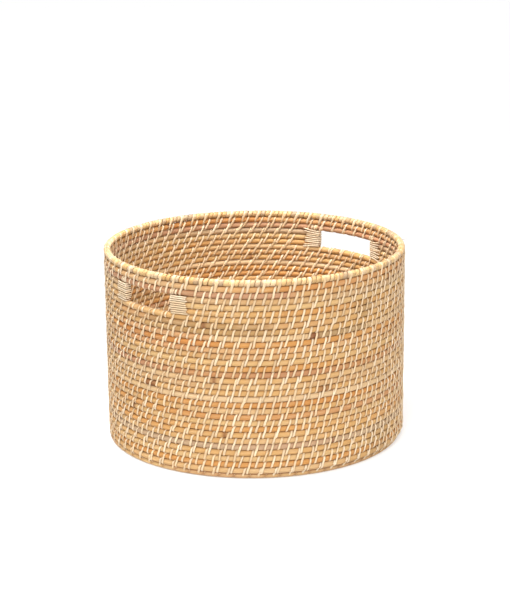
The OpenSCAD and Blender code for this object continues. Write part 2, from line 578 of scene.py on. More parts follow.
@dataclass(frozen=True)
class Layout:
    """Where the CAD frame puts the courses, the rim and the hand slots."""

    wall_r: float
    rod_r: float
    pitch: float
    first_z: float
    rim_z: float
    rim_r: float
    cane_t: float
    left_front: float
    left_back: float
    right_front: float
    right_back: float
    binding: float
    courses: int = 33
    slot_low: int = 28
    slot_top: int = 30
    stitches: int = 64
    half_turns: int = 49
    base_rods: int = 6
    base_lift: float = 0.45 * MM
    base_end: float = math.radians(112)
    first_butt: float = math.radians(14.3)
    butt_step: float = math.radians(159.6)

    @classmethod
    def read(cls) -> "Layout":
        """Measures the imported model.

        Returns:
            The layout.
        """
        low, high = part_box("wall_rod_02"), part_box("wall_rod_27")
        rod_r = (low[1][2] - low[0][2]) / 2
        pitch = (high[0][2] - low[0][2]) / (27 - 2)
        rim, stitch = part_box("rim_wrap"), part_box("rim_stitches")
        rim_r = (rim[1][2] - rim[0][2]) / 2
        wall_r = (rim[1][0] - rim[0][0]) / 2 - rim_r
        cane_t = stitch[1][2] - rim[1][2]
        inner, outer = wall_r - rod_r - cane_t, wall_r + rod_r + cane_t
        left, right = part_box("left_slot_binding_front"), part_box("right_slot_binding_front")
        left_back, right_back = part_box("left_slot_binding_back"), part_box("right_slot_binding_back")
        left_half = math.asin(-left[1][1] / inner)
        return cls(
            wall_r=wall_r, rod_r=rod_r, pitch=pitch, first_z=(low[0][2] + low[1][2]) / 2 - pitch,
            rim_z=(rim[0][2] + rim[1][2]) / 2, rim_r=rim_r, cane_t=cane_t,
            left_front=math.pi + left_half, left_back=math.pi - math.asin(left_back[0][1] / inner),
            right_front=-math.asin(-right[1][1] / inner), right_back=math.asin(right_back[0][1] / inner),
            binding=math.asin(-left[0][1] / outer) - left_half,
        )

    def course_z(self, course: int) -> float:
        """Gives the height of a course's centre line."""
        return self.first_z + (course - 1) * self.pitch

    def butt_angle(self, course: int) -> float:
        """Gives the angle where the two ends of a course's rod meet."""
        return self.first_butt + course * self.butt_step

    def spiral(self, turns: Array) -> Array:
        """Gives points of the base's centre line.

        Args:
            turns: Places along the spiral, in half turns from its start.

        Returns:
            One point for each place, at the height of the first course.
        """
        index = np.clip(np.floor(turns), 0, self.half_turns - 1)
        angle = (turns - index) * math.pi
        last = self.wall_r - self.pitch / 4
        reach = last - (self.half_turns - 1 - index) * self.pitch / 2
        x, y = reach * np.cos(angle) - self.pitch / 4, reach * np.sin(angle)
        turn = np.where((index + self.half_turns) % 2 > 0, -1.0, 1.0)
        x, y = x * turn, -y * turn
        cos, sin = math.cos(self.base_end), math.sin(self.base_end)
        return np.stack([x * cos - y * sin, x * sin + y * cos, np.full_like(x, self.base_z)], axis=1)

    @property
    def base_z(self) -> float:
        """Height of the base rods' centre line, which leaves room for the cane below them."""
        return self.first_z + self.base_lift

    def inset(self, angle: Array) -> Array:
        """Gives how far the bottom course lies inside the wall at each angle."""
        turned = (angle - self.base_end) % TURN
        point = self.spiral(self.half_turns - turned / math.pi)
        return self.wall_r - np.hypot(point[:, 0], point[:, 1])


def polar(angle: Array, reach: Array, height: Array) -> Array:
    """Gives points from angles, distances from the axis and heights."""
    reach, height = np.broadcast_to(reach, angle.shape), np.broadcast_to(height, angle.shape)
    return np.stack([reach * np.cos(angle), reach * np.sin(angle), height], axis=1)


def radial(angle: Array) -> Array:
    """Gives the direction away from the basket's axis at each angle."""
    return polar(angle, 1.0, 0.0)


# ---------------------------------------------------------------- rods


COURSE_TONES = "SHASHAHHASAHAPHSHRASHAAPHHHHSARA"
TONE_LETTERS = {"H": Tone.HONEY, "A": Tone.AMBER, "R": Tone.ROSE, "S": Tone.STRAW, "P": Tone.PALE}
ASH_COURSES = (6, 30)
ROD_CORNERS = 12
ROD_RING_SPACE = 1.25 * MM


@dataclass(frozen=True)
class Patch:
    """A stretch of one or more courses that takes a colour of its own; one patch paints shade instead.

    Attributes:
        low: Lowest course.
        high: Highest course.
        angle: Middle of the stretch, in degrees.
        half: Half its length, in degrees.
        tone: Its colour.
        share: How much of that colour it takes.
    """

    low: int
    high: int
    angle: float
    half: float
    tone: Tone
    share: float

    def weight(self, course: int, angle: Array) -> Array:
        """Gives how much of the patch's colour a course takes.

        Args:
            course: Number of the course.
            angle: Places along it.

        Returns:
            One number for each place, from 0 to share.
        """
        if not self.low <= course <= self.high:
            return np.zeros_like(angle)
        gap = np.abs((angle - math.radians(self.angle) + math.pi) % TURN - math.pi)
        edge = math.radians(self.half) * (0.85 + 0.15 * math.sin(5.0 * course))
        return self.share * np.clip((edge - gap) / (0.25 * edge) + 0.5, 0, 1)


PATCHES = (
    Patch(32, 32, 262, 34, Tone.RUST, 0.3), Patch(31, 31, 264, 38, Tone.HONEY, 0.8),
    Patch(22, 24, 184, 24, Tone.RUST, 0.45), Patch(25, 26, 205, 34, Tone.OLIVE, 0.5),
    Patch(24, 24, 257, 13, Tone.OLIVE, 0.7), Patch(24, 24, 244.3, 2.2, Tone.SPLICE, 0.8),
    Patch(18, 18, 222, 58, Tone.BARK_AND_SHADE, 0.25), Patch(15, 15, 180, 4, Tone.SPLICE, 0.8),
    Patch(15, 15, 249, 4, Tone.SPLICE, 0.5), Patch(13, 13, 245, 25, Tone.RUST, 0.2),
    Patch(26, 28, 266, 5, Tone.OLIVE, 0.45), Patch(2, 6, 277, 8, Tone.OLIVE, 0.35),
    Patch(11, 12, 40, 30, Tone.RUST, 0.3), Patch(20, 21, 95, 22, Tone.OLIVE, 0.3),
    Patch(32, 32, 60, 26, Tone.RUST, 0.4), Patch(25, 25, 28, 9, Tone.RUST, 0.4),
    # The dark brown patch on course 31 at 190 degrees is painted shade on the rod just above the left hand
    # slot.
    Patch(7, 9, 330, 18, Tone.RUST, 0.25), Patch(31, 31, 190, 16, Tone.BARK_AND_SHADE, 0.3),
    Patch(32, 32, 0, 30, Tone.RUST, 0.3), Patch(30, 31, 345, 22, Tone.RUST, 0.15),
)


@dataclass(frozen=True)
class Course:
    """One course of rod: its centre line, its thickness and its colour."""

    layout: Layout
    number: int
    radius: float
    height: float

    @classmethod
    def wall(cls, layout: Layout, number: int) -> "Course":
        """Gives a course of the wall; its rods swell to touch the ones above and below."""
        return cls(layout, number, layout.pitch / 2 + 0.08 * MM, layout.course_z(number))

    @classmethod
    def rim(cls, layout: Layout) -> "Course":
        """Gives the rod inside the rim, a little above its place in the frame."""
        return cls(layout, layout.courses, layout.rim_r - 0.12 * MM, layout.rim_z + 0.45 * MM)

    def centre(self, angle: Array) -> Array:
        """Gives points of the centre line, which wanders a little.

        Args:
            angle: Angles of the points.

        Returns:
            One point for each angle.
        """
        if self.number == 1:
            return polar(angle, self.layout.wall_r - self.layout.inset(angle), self.layout.base_z)
        reach = self.layout.wall_r + 0.22 * MM * Wave(100 + self.number)(angle)
        return polar(angle, reach, self.height + 0.05 * MM * Wave(200 + self.number, 2, 7)(angle))

    def swell(self, angle: Array) -> Array:
        """Gives how thick the rod is at each angle, about 1."""
        return 1 + 0.012 * Wave(300 + self.number, 2, 14)(angle)

    def tone(self, angle: Array) -> Array:
        """Gives the rod's colour.

        Args:
            angle: Places along the course.

        Returns:
            One colour for each place.
        """
        letter = COURSE_TONES[(self.number - 1) % len(COURSE_TONES)]
        main = Tone.ASH if self.number in ASH_COURSES else TONE_LETTERS[letter]
        other = list(TONE_LETTERS.values())[(self.number * 7) % len(TONE_LETTERS)]
        colour = np.broadcast_to(main.value, (len(angle), 3))
        colour = blend(colour, other.value, 0.25 + 0.3 * Wave(400 + self.number, 1, 6)(angle))
        for patch in PATCHES:
            colour = blend(colour, patch.tone.value, patch.weight(self.number, angle))
        return colour

    def rod(self, start: float, sweep: float, touch: kdtree.KDTree | None, open_up: Array | None = None,
            open_down: Array | None = None) -> Sweep:
        """Sweeps the rod over a stretch of the course.

        Args:
            start: Angle of its first end.
            sweep: Angle that it covers.
            touch: Tree of points of the cane that ties it, if any.
            open_up: Angle ranges in which nothing lies on the rod, one a row.
            open_down: Angle ranges in which nothing lies below the rod, one a row.

        Returns:
            The rod.
        """
        rings = max(12, int(sweep * self.layout.wall_r / ROD_RING_SPACE))
        angle = start + np.linspace(0, sweep, rings)
        outline = round_outline(ROD_CORNERS, self.radius, self.radius)
        rng = np.random.default_rng(500 + self.number)
        scale, tone = self.swell(angle), self.tone(angle)
        for place in rng.uniform(0.02, 0.98, 2):
            near = np.exp(-((np.arange(rings) - place * rings) / 1.6) ** 2)
            scale = scale + 0.015 * near
            tone = blend(tone, Tone.BARK_AND_SHADE.value, 0.35 * near)
        ends = np.minimum(np.arange(rings), np.arange(rings)[::-1])
        tone = blend(tone, Tone.SPLICE.value, 0.75 * np.exp(-(ends / 2.6) ** 2))
        # Crown is 1 on the rod's inner and outer faces and 0 where it lies against the courses above and
        # below; the finish paints shade where it is low, but not on a face that a hand slot leaves clear.
        facing = outline / self.radius
        crown = np.broadcast_to(np.abs(facing[:, 1]), (rings, ROD_CORNERS))
        for ranges, sign in ((open_up, 1), (open_down, -1)):
            for low, high in ranges if ranges is not None else ():
                middle, half = (low + high) / 2, (high - low) / 2
                inside = np.abs((angle - middle + math.pi) % TURN - math.pi) < half
                clear = np.clip(facing[:, 0] * sign * 1.4, 0, 1)
                crown = np.maximum(crown, inside[:, None] * clear[None, :])
        size = np.stack([scale, scale], axis=1)
        return Sweep(self.centre(angle), radial(angle), outline, size, tone, crown, touch)


# ---------------------------------------------------------------- cane


@dataclass(frozen=True)
class Rails:
    """The two rods that a strand of cane ties, as functions of a place along them.

    Attributes:
        low: Centre line of the first rod.
        high: Centre line of the second rod.
        face: Direction from the rods towards the side where a stitch goes from first to second.
        reach: Distance from a rod's centre line to the underside of the cane.
        high_reach: The same for the second rod, if it differs.
    """

    low: Callable[[Array], Array]
    high: Callable[[Array], Array]
    face: Callable[[Array], Array]
    reach: float
    high_reach: float = 0.0

    @classmethod
    def one(cls, rod: Course, reach: float) -> "Rails":
        """Gives rails for cane that goes round one rod only, with the second 10 mm above it."""
        return cls(rod.centre, lambda angle: rod.centre(angle) + np.array([0.0, 0.0, 10 * MM]), radial, reach)


@dataclass(frozen=True)
class Loop:
    """One turn of a strand: where it lies on the rods at each step.

    Attributes:
        share: 0 on the first rod, 1 on the second.
        angle: Degrees round that rod, 0 on the face side and 90 beyond the second rod.
        advance: How far along the rods it has gone, in spaces between stitches.
    """

    share: Array
    angle: Array
    advance: Array

    @classmethod
    def of(cls, path: Sequence[tuple[float, float]], advance: Sequence[float]) -> "Loop":
        """Makes a loop from rows of share and angle, and the advance of each row."""
        share, angle = np.array(path, float).T
        return cls(share, angle, np.array(advance, float))

    @classmethod
    def round_one(cls, steps: int, advance: float) -> "Loop":
        """Makes a turn round one rod in even steps, with the advance of each step."""
        return cls.of([(0, 360 / steps * i - 90) for i in range(steps)], [advance * i for i in range(steps)])


ROUND_BOTH = (
    (0, -90), (0, -62), (0, -32), (0, -8), (0.33, 0), (0.67, 0), (1, 8), (1, 32), (1, 62), (1, 90), (1, 118),
    (1, 148), (1, 172), (0.67, 180), (0.33, 180), (0, 188), (0, 212), (0, 242),
)
STITCH = Loop.of(ROUND_BOTH, (
    0.010, 0.040, 0.062, 0.085, 0.130, 0.185, 0.230, 0.255, 0.290, 0.360, 0.435, 0.470, 0.510, 0.590, 0.680,
    0.770, 0.820, 0.890,
))
TIE = Loop.of(ROUND_BOTH, (
    0.000, 0.030, 0.052, 0.075, 0.115, 0.155, 0.180, 0.190, 0.200, 0.215, 0.235, 0.255, 0.285, 0.350, 0.430,
    0.490, 0.520, 0.540,
))
WRAP = Loop.round_one(10, 0.1)
HOOK = Loop.round_one(12, 0.0225)


@dataclass(frozen=True)
class Cane:
    """A kind of split cane.

    Attributes:
        width: Width of a strip.
        thickness: Thickness of a strip.
        tones: Colours that its lengths come in.
        seed: Seed of its chance variation.
        run: Fewest and most turns of one length.
        taper: How much narrower it is where it is pulled between the rods.
        mottle: How much one turn differs from the next in colour.
        spread: How much wider it is on the second rod than on the first.
    """

    width: float
    thickness: float
    tones: tuple[Tone, ...]
    seed: int = 0
    run: tuple[int, int] = (9, 30)
    taper: float = 0.3
    mottle: float = 0.05
    spread: float = 0.0

    def strand(self, rails: Rails, loop: Loop, first: float, turns: int, space: float,
               jitter: float = 0.05, seed: int = 0) -> Sweep:
        """Lays one strand of cane round the rods.

        Args:
            rails: The rods.
            loop: Shape of one turn.
            first: Place along the rods where it starts.
            turns: Number of turns.
            space: Distance between turns, in the same measure as first.
            jitter: How uneven the turns are, in spaces.
            seed: Seed of its chance variation.

        Returns:
            The strand.
        """
        rng = np.random.default_rng(1000 * self.seed + seed)
        steps = len(loop.share)
        turn = np.repeat(np.arange(turns), steps)
        row = np.tile(np.arange(steps), turns)
        turn, row = np.append(turn, turns), np.append(row, 0)
        shift = rng.normal(0, jitter, turns + 2)
        slant = np.clip(rng.normal(0, 0.5 * jitter, turns + 2), -0.08, 0.08)
        local = loop.advance[row]
        blended = shift[turn] * (1 - local) + shift[turn + 1] * local
        lean = slant[turn] * np.sin(np.pi * np.clip(local / 0.3, 0, 1)) * np.cos(np.pi * local / 0.3)
        place = first + (turn + local + blended - lean) * space
        angle = np.radians(loop.angle[row])
        low, high = rails.low(place), rails.high(place)
        across, face = unit(high - low), rails.face(place)
        share = loop.share[row]
        out = face * np.cos(angle)[:, None] + across * np.sin(angle)[:, None]
        reach = rails.reach + ((rails.high_reach or rails.reach) - rails.reach) * share
        dip = 0.3 * MM * np.sin(np.pi * share) ** 2
        points = low + (high - low) * share[:, None] + out * (reach - dip)[:, None]
        outline, stand = cane_outline(self.width, self.thickness)
        bare = np.clip(0.2 + 1.4 * np.abs(np.cos(angle)), 0, 1)
        wide = (1 + rng.normal(0, 0.07, turns + 1)[turn]) * (1 - self.taper * (1 - bare))
        scale = np.stack([wide * (1 + self.spread * share), np.ones_like(wide)], axis=1)
        # Crown falls at the strip's edges and where it dives between the rods; the finish paints shade there.
        crown = bare[:, None] * stand[None, :]
        return Sweep(points, out, outline, scale, self._tones(rng, turn), crown)

    def _tones(self, rng: np.random.Generator, turn: Array) -> Array:
        """Colours the turns: one colour a length, and small differences within it.

        Args:
            rng: Source of the chance variation.
            turn: Turn that each ring belongs to.

        Returns:
            One colour for each ring.
        """
        turns = int(turn.max()) + 1
        colours = np.empty((turns, 3))
        at = 0
        while at < turns:
            run = int(rng.integers(*self.run))
            first, second = rng.choice(len(self.tones), 2)
            colours[at:at + run] = blend(self.tones[first].value, self.tones[second].value, rng.uniform(0, 1))
            at += run
        colours *= 1 + rng.normal(0, self.mottle, (turns, 1))
        return colours[turn]


# ---------------------------------------------------------------- pieces


@dataclass
class Workshop:
    """Where pieces are made: the layout, the finishes and the plain tubes."""

    layout: Layout
    palette: Palette = field(default_factory=Palette)
    tubes: Tubes = field(default_factory=Tubes)

    def piece(self, name: str, sweeps: Sequence[Sweep], finish: Finish, nodes: Sequence[str]) -> None:
        """Makes one piece.

        Args:
            name: Name of the piece.
            sweeps: Its shape.
            finish: Its finish.
            nodes: CAD nodes that it stands for.
        """
        mesh = self.tubes.join(name, sweeps)
        mesh.materials.append(self.palette.made[finish])
        piece = bpy.data.objects.new(name, mesh)
        bpy.context.scene.collection.objects.link(piece)
        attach(piece, "root")
        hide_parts(*nodes)
        count = sum(len(p.vertices) - 2 for p in mesh.polygons)
        log.info("%s: %d sweeps, %d triangles", name, len(sweeps), count)


@dataclass
class Slots:
    """The two hand slots, and the arcs of wall between them."""

    layout: Layout

    def ranges(self) -> Array:
        """Gives the angle ranges of the right and the left hand slot."""
        layout = self.layout
        return np.array([[layout.right_front, layout.right_back], [layout.left_back, layout.left_front]])

    def arcs(self, spare: float = 0.0) -> dict[str, tuple[float, float]]:
        """Gives the start and the sweep of each side of a course cut by the slots.

        Args:
            spare: Angle to leave free at both ends.

        Returns:
            Start and sweep of the back and of the front.
        """
        (right_front, right_back), (left_back, left_front) = self.ranges()
        cap = self.layout.cane_t / self.layout.wall_r + spare
        return {"back": (right_back + cap, left_back - right_back - 2 * cap),
                "front": (left_front + cap, TURN + right_front - left_front - 2 * cap)}


@dataclass
class Wall:
    """The level courses of rod above the base, and the shorter ones beside the hand slots."""

    layout: Layout
    slots: Slots

    def build(self, shop: Workshop, lacing: "Lacing") -> None:
        """Makes every rod of the wall and the rim.

        Args:
            shop: Where the pieces are made.
            lacing: The cane that presses on the rods.
        """
        sides = self.slots.ranges()
        for number in range(2, self.layout.courses):
            course, touch = Course.wall(self.layout, number), lacing.touching(number)
            if self.layout.slot_low <= number <= self.layout.slot_top:
                for side, (start, sweep) in self.slots.arcs().items():
                    name = f"slot_rod_{number}_{side}"
                    shop.piece(f"{name}_look", [course.rod(start, sweep, touch)], Finish.ROD, [name])
                continue
            up = sides if number == self.layout.slot_low - 1 else None
            down = sides if number == self.layout.slot_top + 1 else None
            rod = course.rod(self.layout.butt_angle(number), TURN, touch, up, down)
            shop.piece(f"wall_rod_{number:02d}_look", [rod], Finish.ROD, [f"wall_rod_{number:02d}"])
        rim = Course.rim(self.layout)
        rod = rim.rod(self.layout.butt_angle(rim.number), TURN, None)
        shop.piece("rim_rod_look", [rod], Finish.ROD, ["rim_rod"])


@dataclass
class Base:
    """The flat coiled base, whose last turn is the bottom course of the wall."""

    layout: Layout
    half_height: float = 3.45 * MM
    ring_space: float = 2.4 * MM
    plug_r: float = 2.0 * MM
    letters: str = "HSAHRS"

    def build(self, shop: Workshop, lacing: "Lacing") -> None:
        """Makes the base's rods.

        Args:
            shop: Where the pieces are made.
            lacing: The cane that presses on the rods.
        """
        touch = lacing.base_points()
        for index in range(self.layout.base_rods):
            name = f"base_rod_{index + 1}"
            sweeps = [self.rod(index, touch)] + ([self.plug()] if index == 0 else [])
            shop.piece(f"{name}_look", sweeps, Finish.ROD, [name])

    def plug(self) -> Sweep:
        """Makes the short upright end of rod that fills the middle of the coil.

        Returns:
            The plug.
        """
        rings, corners = 4, 8
        height = np.linspace(0.8 * MM, self.layout.base_z + 0.8 * self.half_height, rings)
        points = np.stack([np.full(rings, 0.04), np.full(rings, 0.27), height / self.layout.pitch], axis=1)
        outline = round_outline(corners, self.plug_r, self.plug_r)
        # A crown of 0.5 gives the plug part of the painted groove shade all round.
        return Sweep(points * self.layout.pitch, rows((1.0, 0.0, 0.0), rings), outline, np.ones((rings, 2)),
                     rows(Tone.HONEY.value, rings), np.full((rings, corners), 0.5))

    def rod(self, index: int, touch: kdtree.KDTree) -> Sweep:
        """Sweeps one rod along its part of the spiral.

        Args:
            index: Number of the rod, from the middle out.
            touch: Tree of points of the cane that ties it.

        Returns:
            The rod.
        """
        first, last = (round(self.layout.half_turns * math.sqrt(i / self.layout.base_rods))
                       for i in (index, index + 1))
        length = sum(math.pi * (k + 1) * self.layout.pitch / 2 for k in range(first, last))
        rings = int(length / self.ring_space)
        even = np.linspace((first + 2) ** 2, (last + 2) ** 2, rings)
        turns = np.clip(np.sqrt(even) - 2, first + 0.002, last - 0.002)
        points = self.layout.spiral(turns)
        outline = round_outline(ROD_CORNERS, self.layout.pitch / 2 + 0.03 * MM, self.half_height)
        wave = 0.5 * np.sin(turns * 1.7 + index) + 0.5 * np.sin(turns * 3.9 + 2 * index)
        tone = rows(TONE_LETTERS[self.letters[index]].value, rings)
        tone = blend(tone, Tone.AMBER.value, 0.35 + 0.3 * wave)
        outer = (turns > self.layout.half_turns - 2)[:, None]
        if index == self.layout.base_rods - 1:
            angle = np.arctan2(points[:, 1], points[:, 0])
            tone = np.where(outer, Course.wall(self.layout, 1).tone(angle), tone)
        # Crown is low where turns of the coil lie against each other, and the finish paints shade there; on
        # the last turn of the coil the sides stay clear and the top and bottom take half.
        corner = np.arange(ROD_CORNERS) * TURN / ROD_CORNERS
        up = np.broadcast_to(np.abs(np.sin(corner)), (rings, ROD_CORNERS))
        aside = np.maximum(np.abs(np.cos(corner)), np.clip(-np.cos(corner) * 1.3, 0, 1))
        crown = np.where(outer, np.maximum(up * 0.5, aside), up)
        return Sweep(points, rows(UP, rings), outline, np.ones((rings, 2)), tone, crown, touch)


@dataclass
class Lacing:
    """The cane that ties each course to the next, and each turn of the base to the one inside it.

    Attributes:
        layout: Where things are.
        slots: The hand slots.
        cane: The stitching cane.
        binding_room: Wall left without stitches beyond each binding.
        base_reach: Distance from a base rod's centre line to the cane below it.
        shade_filler_r: Radius of the dark tube between the base and the wall, whose colour is painted shade.
        base_run: Most stitches in one strand of the base.
        strands: Stitches from each course to the next.
        edges: Cane that lies on single courses, at the slots.
        base: Stitches of the base.
    """

    layout: Layout
    slots: Slots
    cane: Cane = Cane(3.05 * MM, 0.72 * MM, (Tone.CREAM, Tone.IVORY, Tone.CREAM, Tone.PALE), 1, (1, 6), 0.35,
                      0.04)
    binding_room: float = 3.0 * MM
    base_reach: float = 3.08 * MM
    shade_filler_r: float = 2.1 * MM
    base_run: int = 64
    strands: dict[int, list[Sweep]] = field(default_factory=dict)
    edges: dict[int, list[Sweep]] = field(default_factory=dict)
    base: list[Sweep] = field(default_factory=list)

    def lay(self) -> None:
        """Works out every strand, so that the rods can be dented, and given painted shade, where they pass.
        """
        layout = self.layout
        room = layout.binding + self.binding_room / layout.wall_r
        for course in range(1, layout.courses - 1):
            if layout.slot_low - 1 <= course <= layout.slot_top:
                arcs = self.slots.arcs(room).values()
                self.strands[course] = [self.arc_strand(course, *arc) for arc in arcs]
            else:
                self.strands[course] = [self.round_strand(course)]
        for course in (layout.slot_low - 1, layout.slot_top + 1):
            self.edges[course] = self.edge_wraps(course)
        self.base = self.base_strands()

    def build(self, shop: Workshop) -> None:
        """Makes the stitching of the wall and the base.

        Args:
            shop: Where the pieces are made.
        """
        low, top = self.layout.slot_low - 1, self.layout.slot_top + 1
        third = round(low / 3)
        bands = {
            "wall_stitching_low": (1, third), "wall_stitching_middle": (third, 2 * third),
            "wall_stitching_high": (2 * third, low), "slot_stitching": (low, top),
            "top_stitching": (top, top + 1),
        }
        for name, (first, last) in bands.items():
            strands = [strand for course in range(first, last) for strand in self.strands[course]]
            if first == 1:
                strands.append(self.shade_filler())
            if name == "slot_stitching":
                strands += self.edges[low] + self.edges[top]
            shop.piece(f"{name}_look", strands, Finish.STITCH, [name])
        shop.piece("base_stitching_look", self.base, Finish.STITCH, ["base_stitching"])

    def shade_filler(self) -> Sweep:
        """Fills the gap between the base's last turn and the wall, where the two draw apart, with a dark tube
        whose colour is painted shade.

        Returns:
            The tube.
        """
        rings, corners = 400, 8
        angle = np.linspace(0, TURN, rings)
        low, high = Course.wall(self.layout, 1).centre(angle), Course.wall(self.layout, 2).centre(angle)
        outline = round_outline(corners, self.shade_filler_r, self.shade_filler_r)
        # Painted shade: the tube is dark brown and darkened further by its low crown, so the gap reads as a
        # shaded groove.
        return Sweep((low + high) / 2, radial(angle), outline, np.ones((rings, 2)),
                     rows(Tone.BARK_AND_SHADE.value, rings), np.full((rings, corners), 0.2))

    def cover(self, strips: list[Sweep]) -> None:
        """Lets the strips of the bindings lie on the courses that the slots cut."""
        for course in range(self.layout.slot_low, self.layout.slot_top + 1):
            self.edges[course] = strips

    def touching(self, number: int) -> kdtree.KDTree:
        """Gives the cane that lies on a course, as a tree of points."""
        strands = [strand for course in (number - 1, number) for strand in self.strands.get(course, [])]
        return tree_of([strand.points for strand in strands + self.edges.get(number, [])])

    def base_points(self) -> kdtree.KDTree:
        """Gives the cane that lies on the base, as a tree of points."""
        return tree_of([strand.points for strand in self.base], 2)

    def rails(self, course: int) -> Rails:
        """Gives the two rods that a course's stitches tie.

        Args:
            course: Number of the lower course.

        Returns:
            The rods.
        """
        low, high = Course.wall(self.layout, course), Course.wall(self.layout, course + 1)
        reach = low.radius - 0.05 * MM
        first = self.base_reach if course == 1 else reach
        return Rails(low.centre, high.centre, radial, first, reach)

    def phase(self, course: int) -> float:
        """Gives where a course's stitches lie between those of the course below, in spaces."""
        return 0.5 * (course % 2) + 0.1 * math.sin(2.1 * course)

    def round_strand(self, course: int) -> Sweep:
        """Lays the stitches of a course that goes all the way round."""
        space = TURN / self.layout.stitches
        start = math.floor(self.layout.butt_angle(course) / space) * space + self.phase(course) * space
        return self.cane.strand(self.rails(course), STITCH, start, self.layout.stitches, space, seed=course)

    def arc_strand(self, course: int, start: float, sweep: float) -> Sweep:
        """Lays the stitches of a course between the two hand slots.

        Args:
            course: Number of the lower course.
            start: Angle where the arc starts.
            sweep: Angle that it covers.

        Returns:
            The strand.
        """
        space = TURN / self.layout.stitches
        first = (math.ceil(start / space - self.phase(course)) + self.phase(course)) * space
        turns = int((start + sweep - first) / space + 0.35)
        return self.cane.strand(self.rails(course), STITCH, first, turns, space,
                                seed=2 * course + int(start > 1) + 50)

    def edge_wraps(self, course: int) -> list[Sweep]:
        """Lays wraps round the rod at a slot's edge, and three close hooks over each binding.

        Args:
            course: Number of the course.

        Returns:
            One strand for each wrap or hook.
        """
        layout = self.layout
        rod = Course.wall(layout, course)
        rails = Rails.one(rod, rod.radius - 0.05 * MM)
        space = TURN / layout.stitches
        places: list[float] = []
        for low, high in self.slots.ranges():
            other = self.phase(course if course > layout.slot_top else course - 1) + 0.5
            first = (math.ceil(low / space - other) + other) * space
            places += list(np.arange(first, high - 0.1 * space, space))
            if course > layout.slot_top:
                hook = 3.6 * MM / layout.wall_r
                places += [low - hook * i for i in (1, 2, 3)] + [high + hook * (i - 0.8) for i in (1, 2, 3)]
        return [self.cane.strand(rails, HOOK, place, 1, space, jitter=0.02, seed=700 + 40 * course + i)
                for i, place in enumerate(places)]

    def base_strands(self) -> list[Sweep]:
        """Lays the stitches of the base, along its whole spiral.

        Returns:
            The strands, from the middle out.
        """
        layout, strands, begin_at = self.layout, [], 5.0
        space = TURN * layout.wall_r / layout.stitches
        growth = math.pi * layout.pitch / 2
        rails = Rails(
            lambda s: layout.spiral(np.sqrt(np.maximum(s, 4.1)) - 2.0),
            lambda s: layout.spiral(np.sqrt(np.maximum(s, 4.1))),
            lambda s: rows(UP, len(s)),
            self.base_reach,
        )
        step = 2 * space / growth
        count = int(((layout.half_turns - 0.05) ** 2 - begin_at) / step)
        for index, begin in enumerate(range(0, count, self.base_run)):
            turns = min(self.base_run, count - begin)
            first = begin_at + begin * step
            strands.append(self.cane.strand(rails, STITCH, first, turns, step, seed=300 + index))
        return strands


def loose_fibre(start: Sequence[float], end: Sequence[float], sag: float) -> Sweep:
    """Makes a loose fibre that stands out of the cane.

    Args:
        start: Where it leaves the cane.
        end: Its tip.
        sag: How far its middle hangs below a straight line.

    Returns:
        The fibre.
    """
    rings, corners, radius = 7, 5, 0.28 * MM
    share = np.linspace(0, 1, rings)
    points = np.array(start) + (np.array(end) - np.array(start)) * share[:, None]
    points[:, 2] -= 4 * sag * share * (1 - share)
    scale = np.repeat(1 - 0.6 * share[:, None], 2, axis=1)
    return Sweep(points, rows(UP, rings), round_outline(corners, radius, radius), scale,
                 rows(Tone.OLIVE.value, rings), np.ones((rings, corners)))


def tree_of(lines: Sequence[Array], parts: int = 3) -> kdtree.KDTree:
    """Puts lines of points in a tree that finds the nearest.

    Args:
        lines: The lines.
        parts: Number of parts that each step of a line is split into.

    Returns:
        The tree.
    """
    shares = np.arange(parts) / parts
    made = [line[:-1, None] * (1 - shares)[:, None] + line[1:, None] * shares[:, None] for line in lines]
    points = np.concatenate([part.reshape(-1, 3) for part in made]).tolist()
    tree = kdtree.KDTree(len(points))
    for index, point in enumerate(points):
        tree.insert(point, index)
    tree.balance()
    return tree


@dataclass
class Rim:
    """Cane wound closely round the rim, and the long stitches that tie it to the course below."""

    layout: Layout
    each: int = 3
    lengths: int = 8
    cane: Cane = Cane(6.5 * MM, 0.85 * MM, (Tone.WHEAT, Tone.STRAW, Tone.ASH, Tone.HONEY, Tone.PALE), 2,
                      (1, 3), 0.0, 0.06)
    tie: Cane = Cane(2.9 * MM, 0.75 * MM, (Tone.CREAM, Tone.PALE), 3, (1, 2), 0.3, 0.05, 0.7)

    def build(self, shop: Workshop) -> None:
        """Makes the winding and its stitches.

        Args:
            shop: Where the pieces are made.
        """
        angle, height = math.radians(321), self.layout.rim_z
        start = polar(np.array([angle]), self.layout.wall_r + 4 * MM, height)[0]
        fibre = loose_fibre(start, start + np.array([6.0, -6.2, 1.8]) * MM, 0.4 * MM)
        shop.piece("rim_wrap_look", self.winding() + [fibre], Finish.RIM, ["rim_wrap"])
        shop.piece("rim_stitches_look", self.ties(), Finish.RIM, ["rim_stitches"])

    def winding(self) -> list[Sweep]:
        """Winds the cane round the rim rod.

        Returns:
            One strand for each length of cane.
        """
        rim = Course.rim(self.layout)
        rails = Rails.one(rim, rim.radius)
        total = self.layout.stitches * self.each
        space, run = TURN / total, total // self.lengths
        return [self.cane.strand(rails, WRAP, i * run * space, run, space, jitter=0.06, seed=i)
                for i in range(self.lengths)]

    def ties(self) -> list[Sweep]:
        """Lays the long stitches.

        Returns:
            One strand for each place where the rim is tied down.
        """
        low, rim = Course.wall(self.layout, self.layout.courses - 1), Course.rim(self.layout)
        rails = Rails(low.centre, rim.centre, radial, low.radius - 0.05 * MM, rim.radius + 0.2 * MM)
        space = TURN / self.layout.stitches
        return [self.tie.strand(rails, TIE, i * space, 1, space, jitter=0.03, seed=i)
                for i in range(self.layout.stitches)]


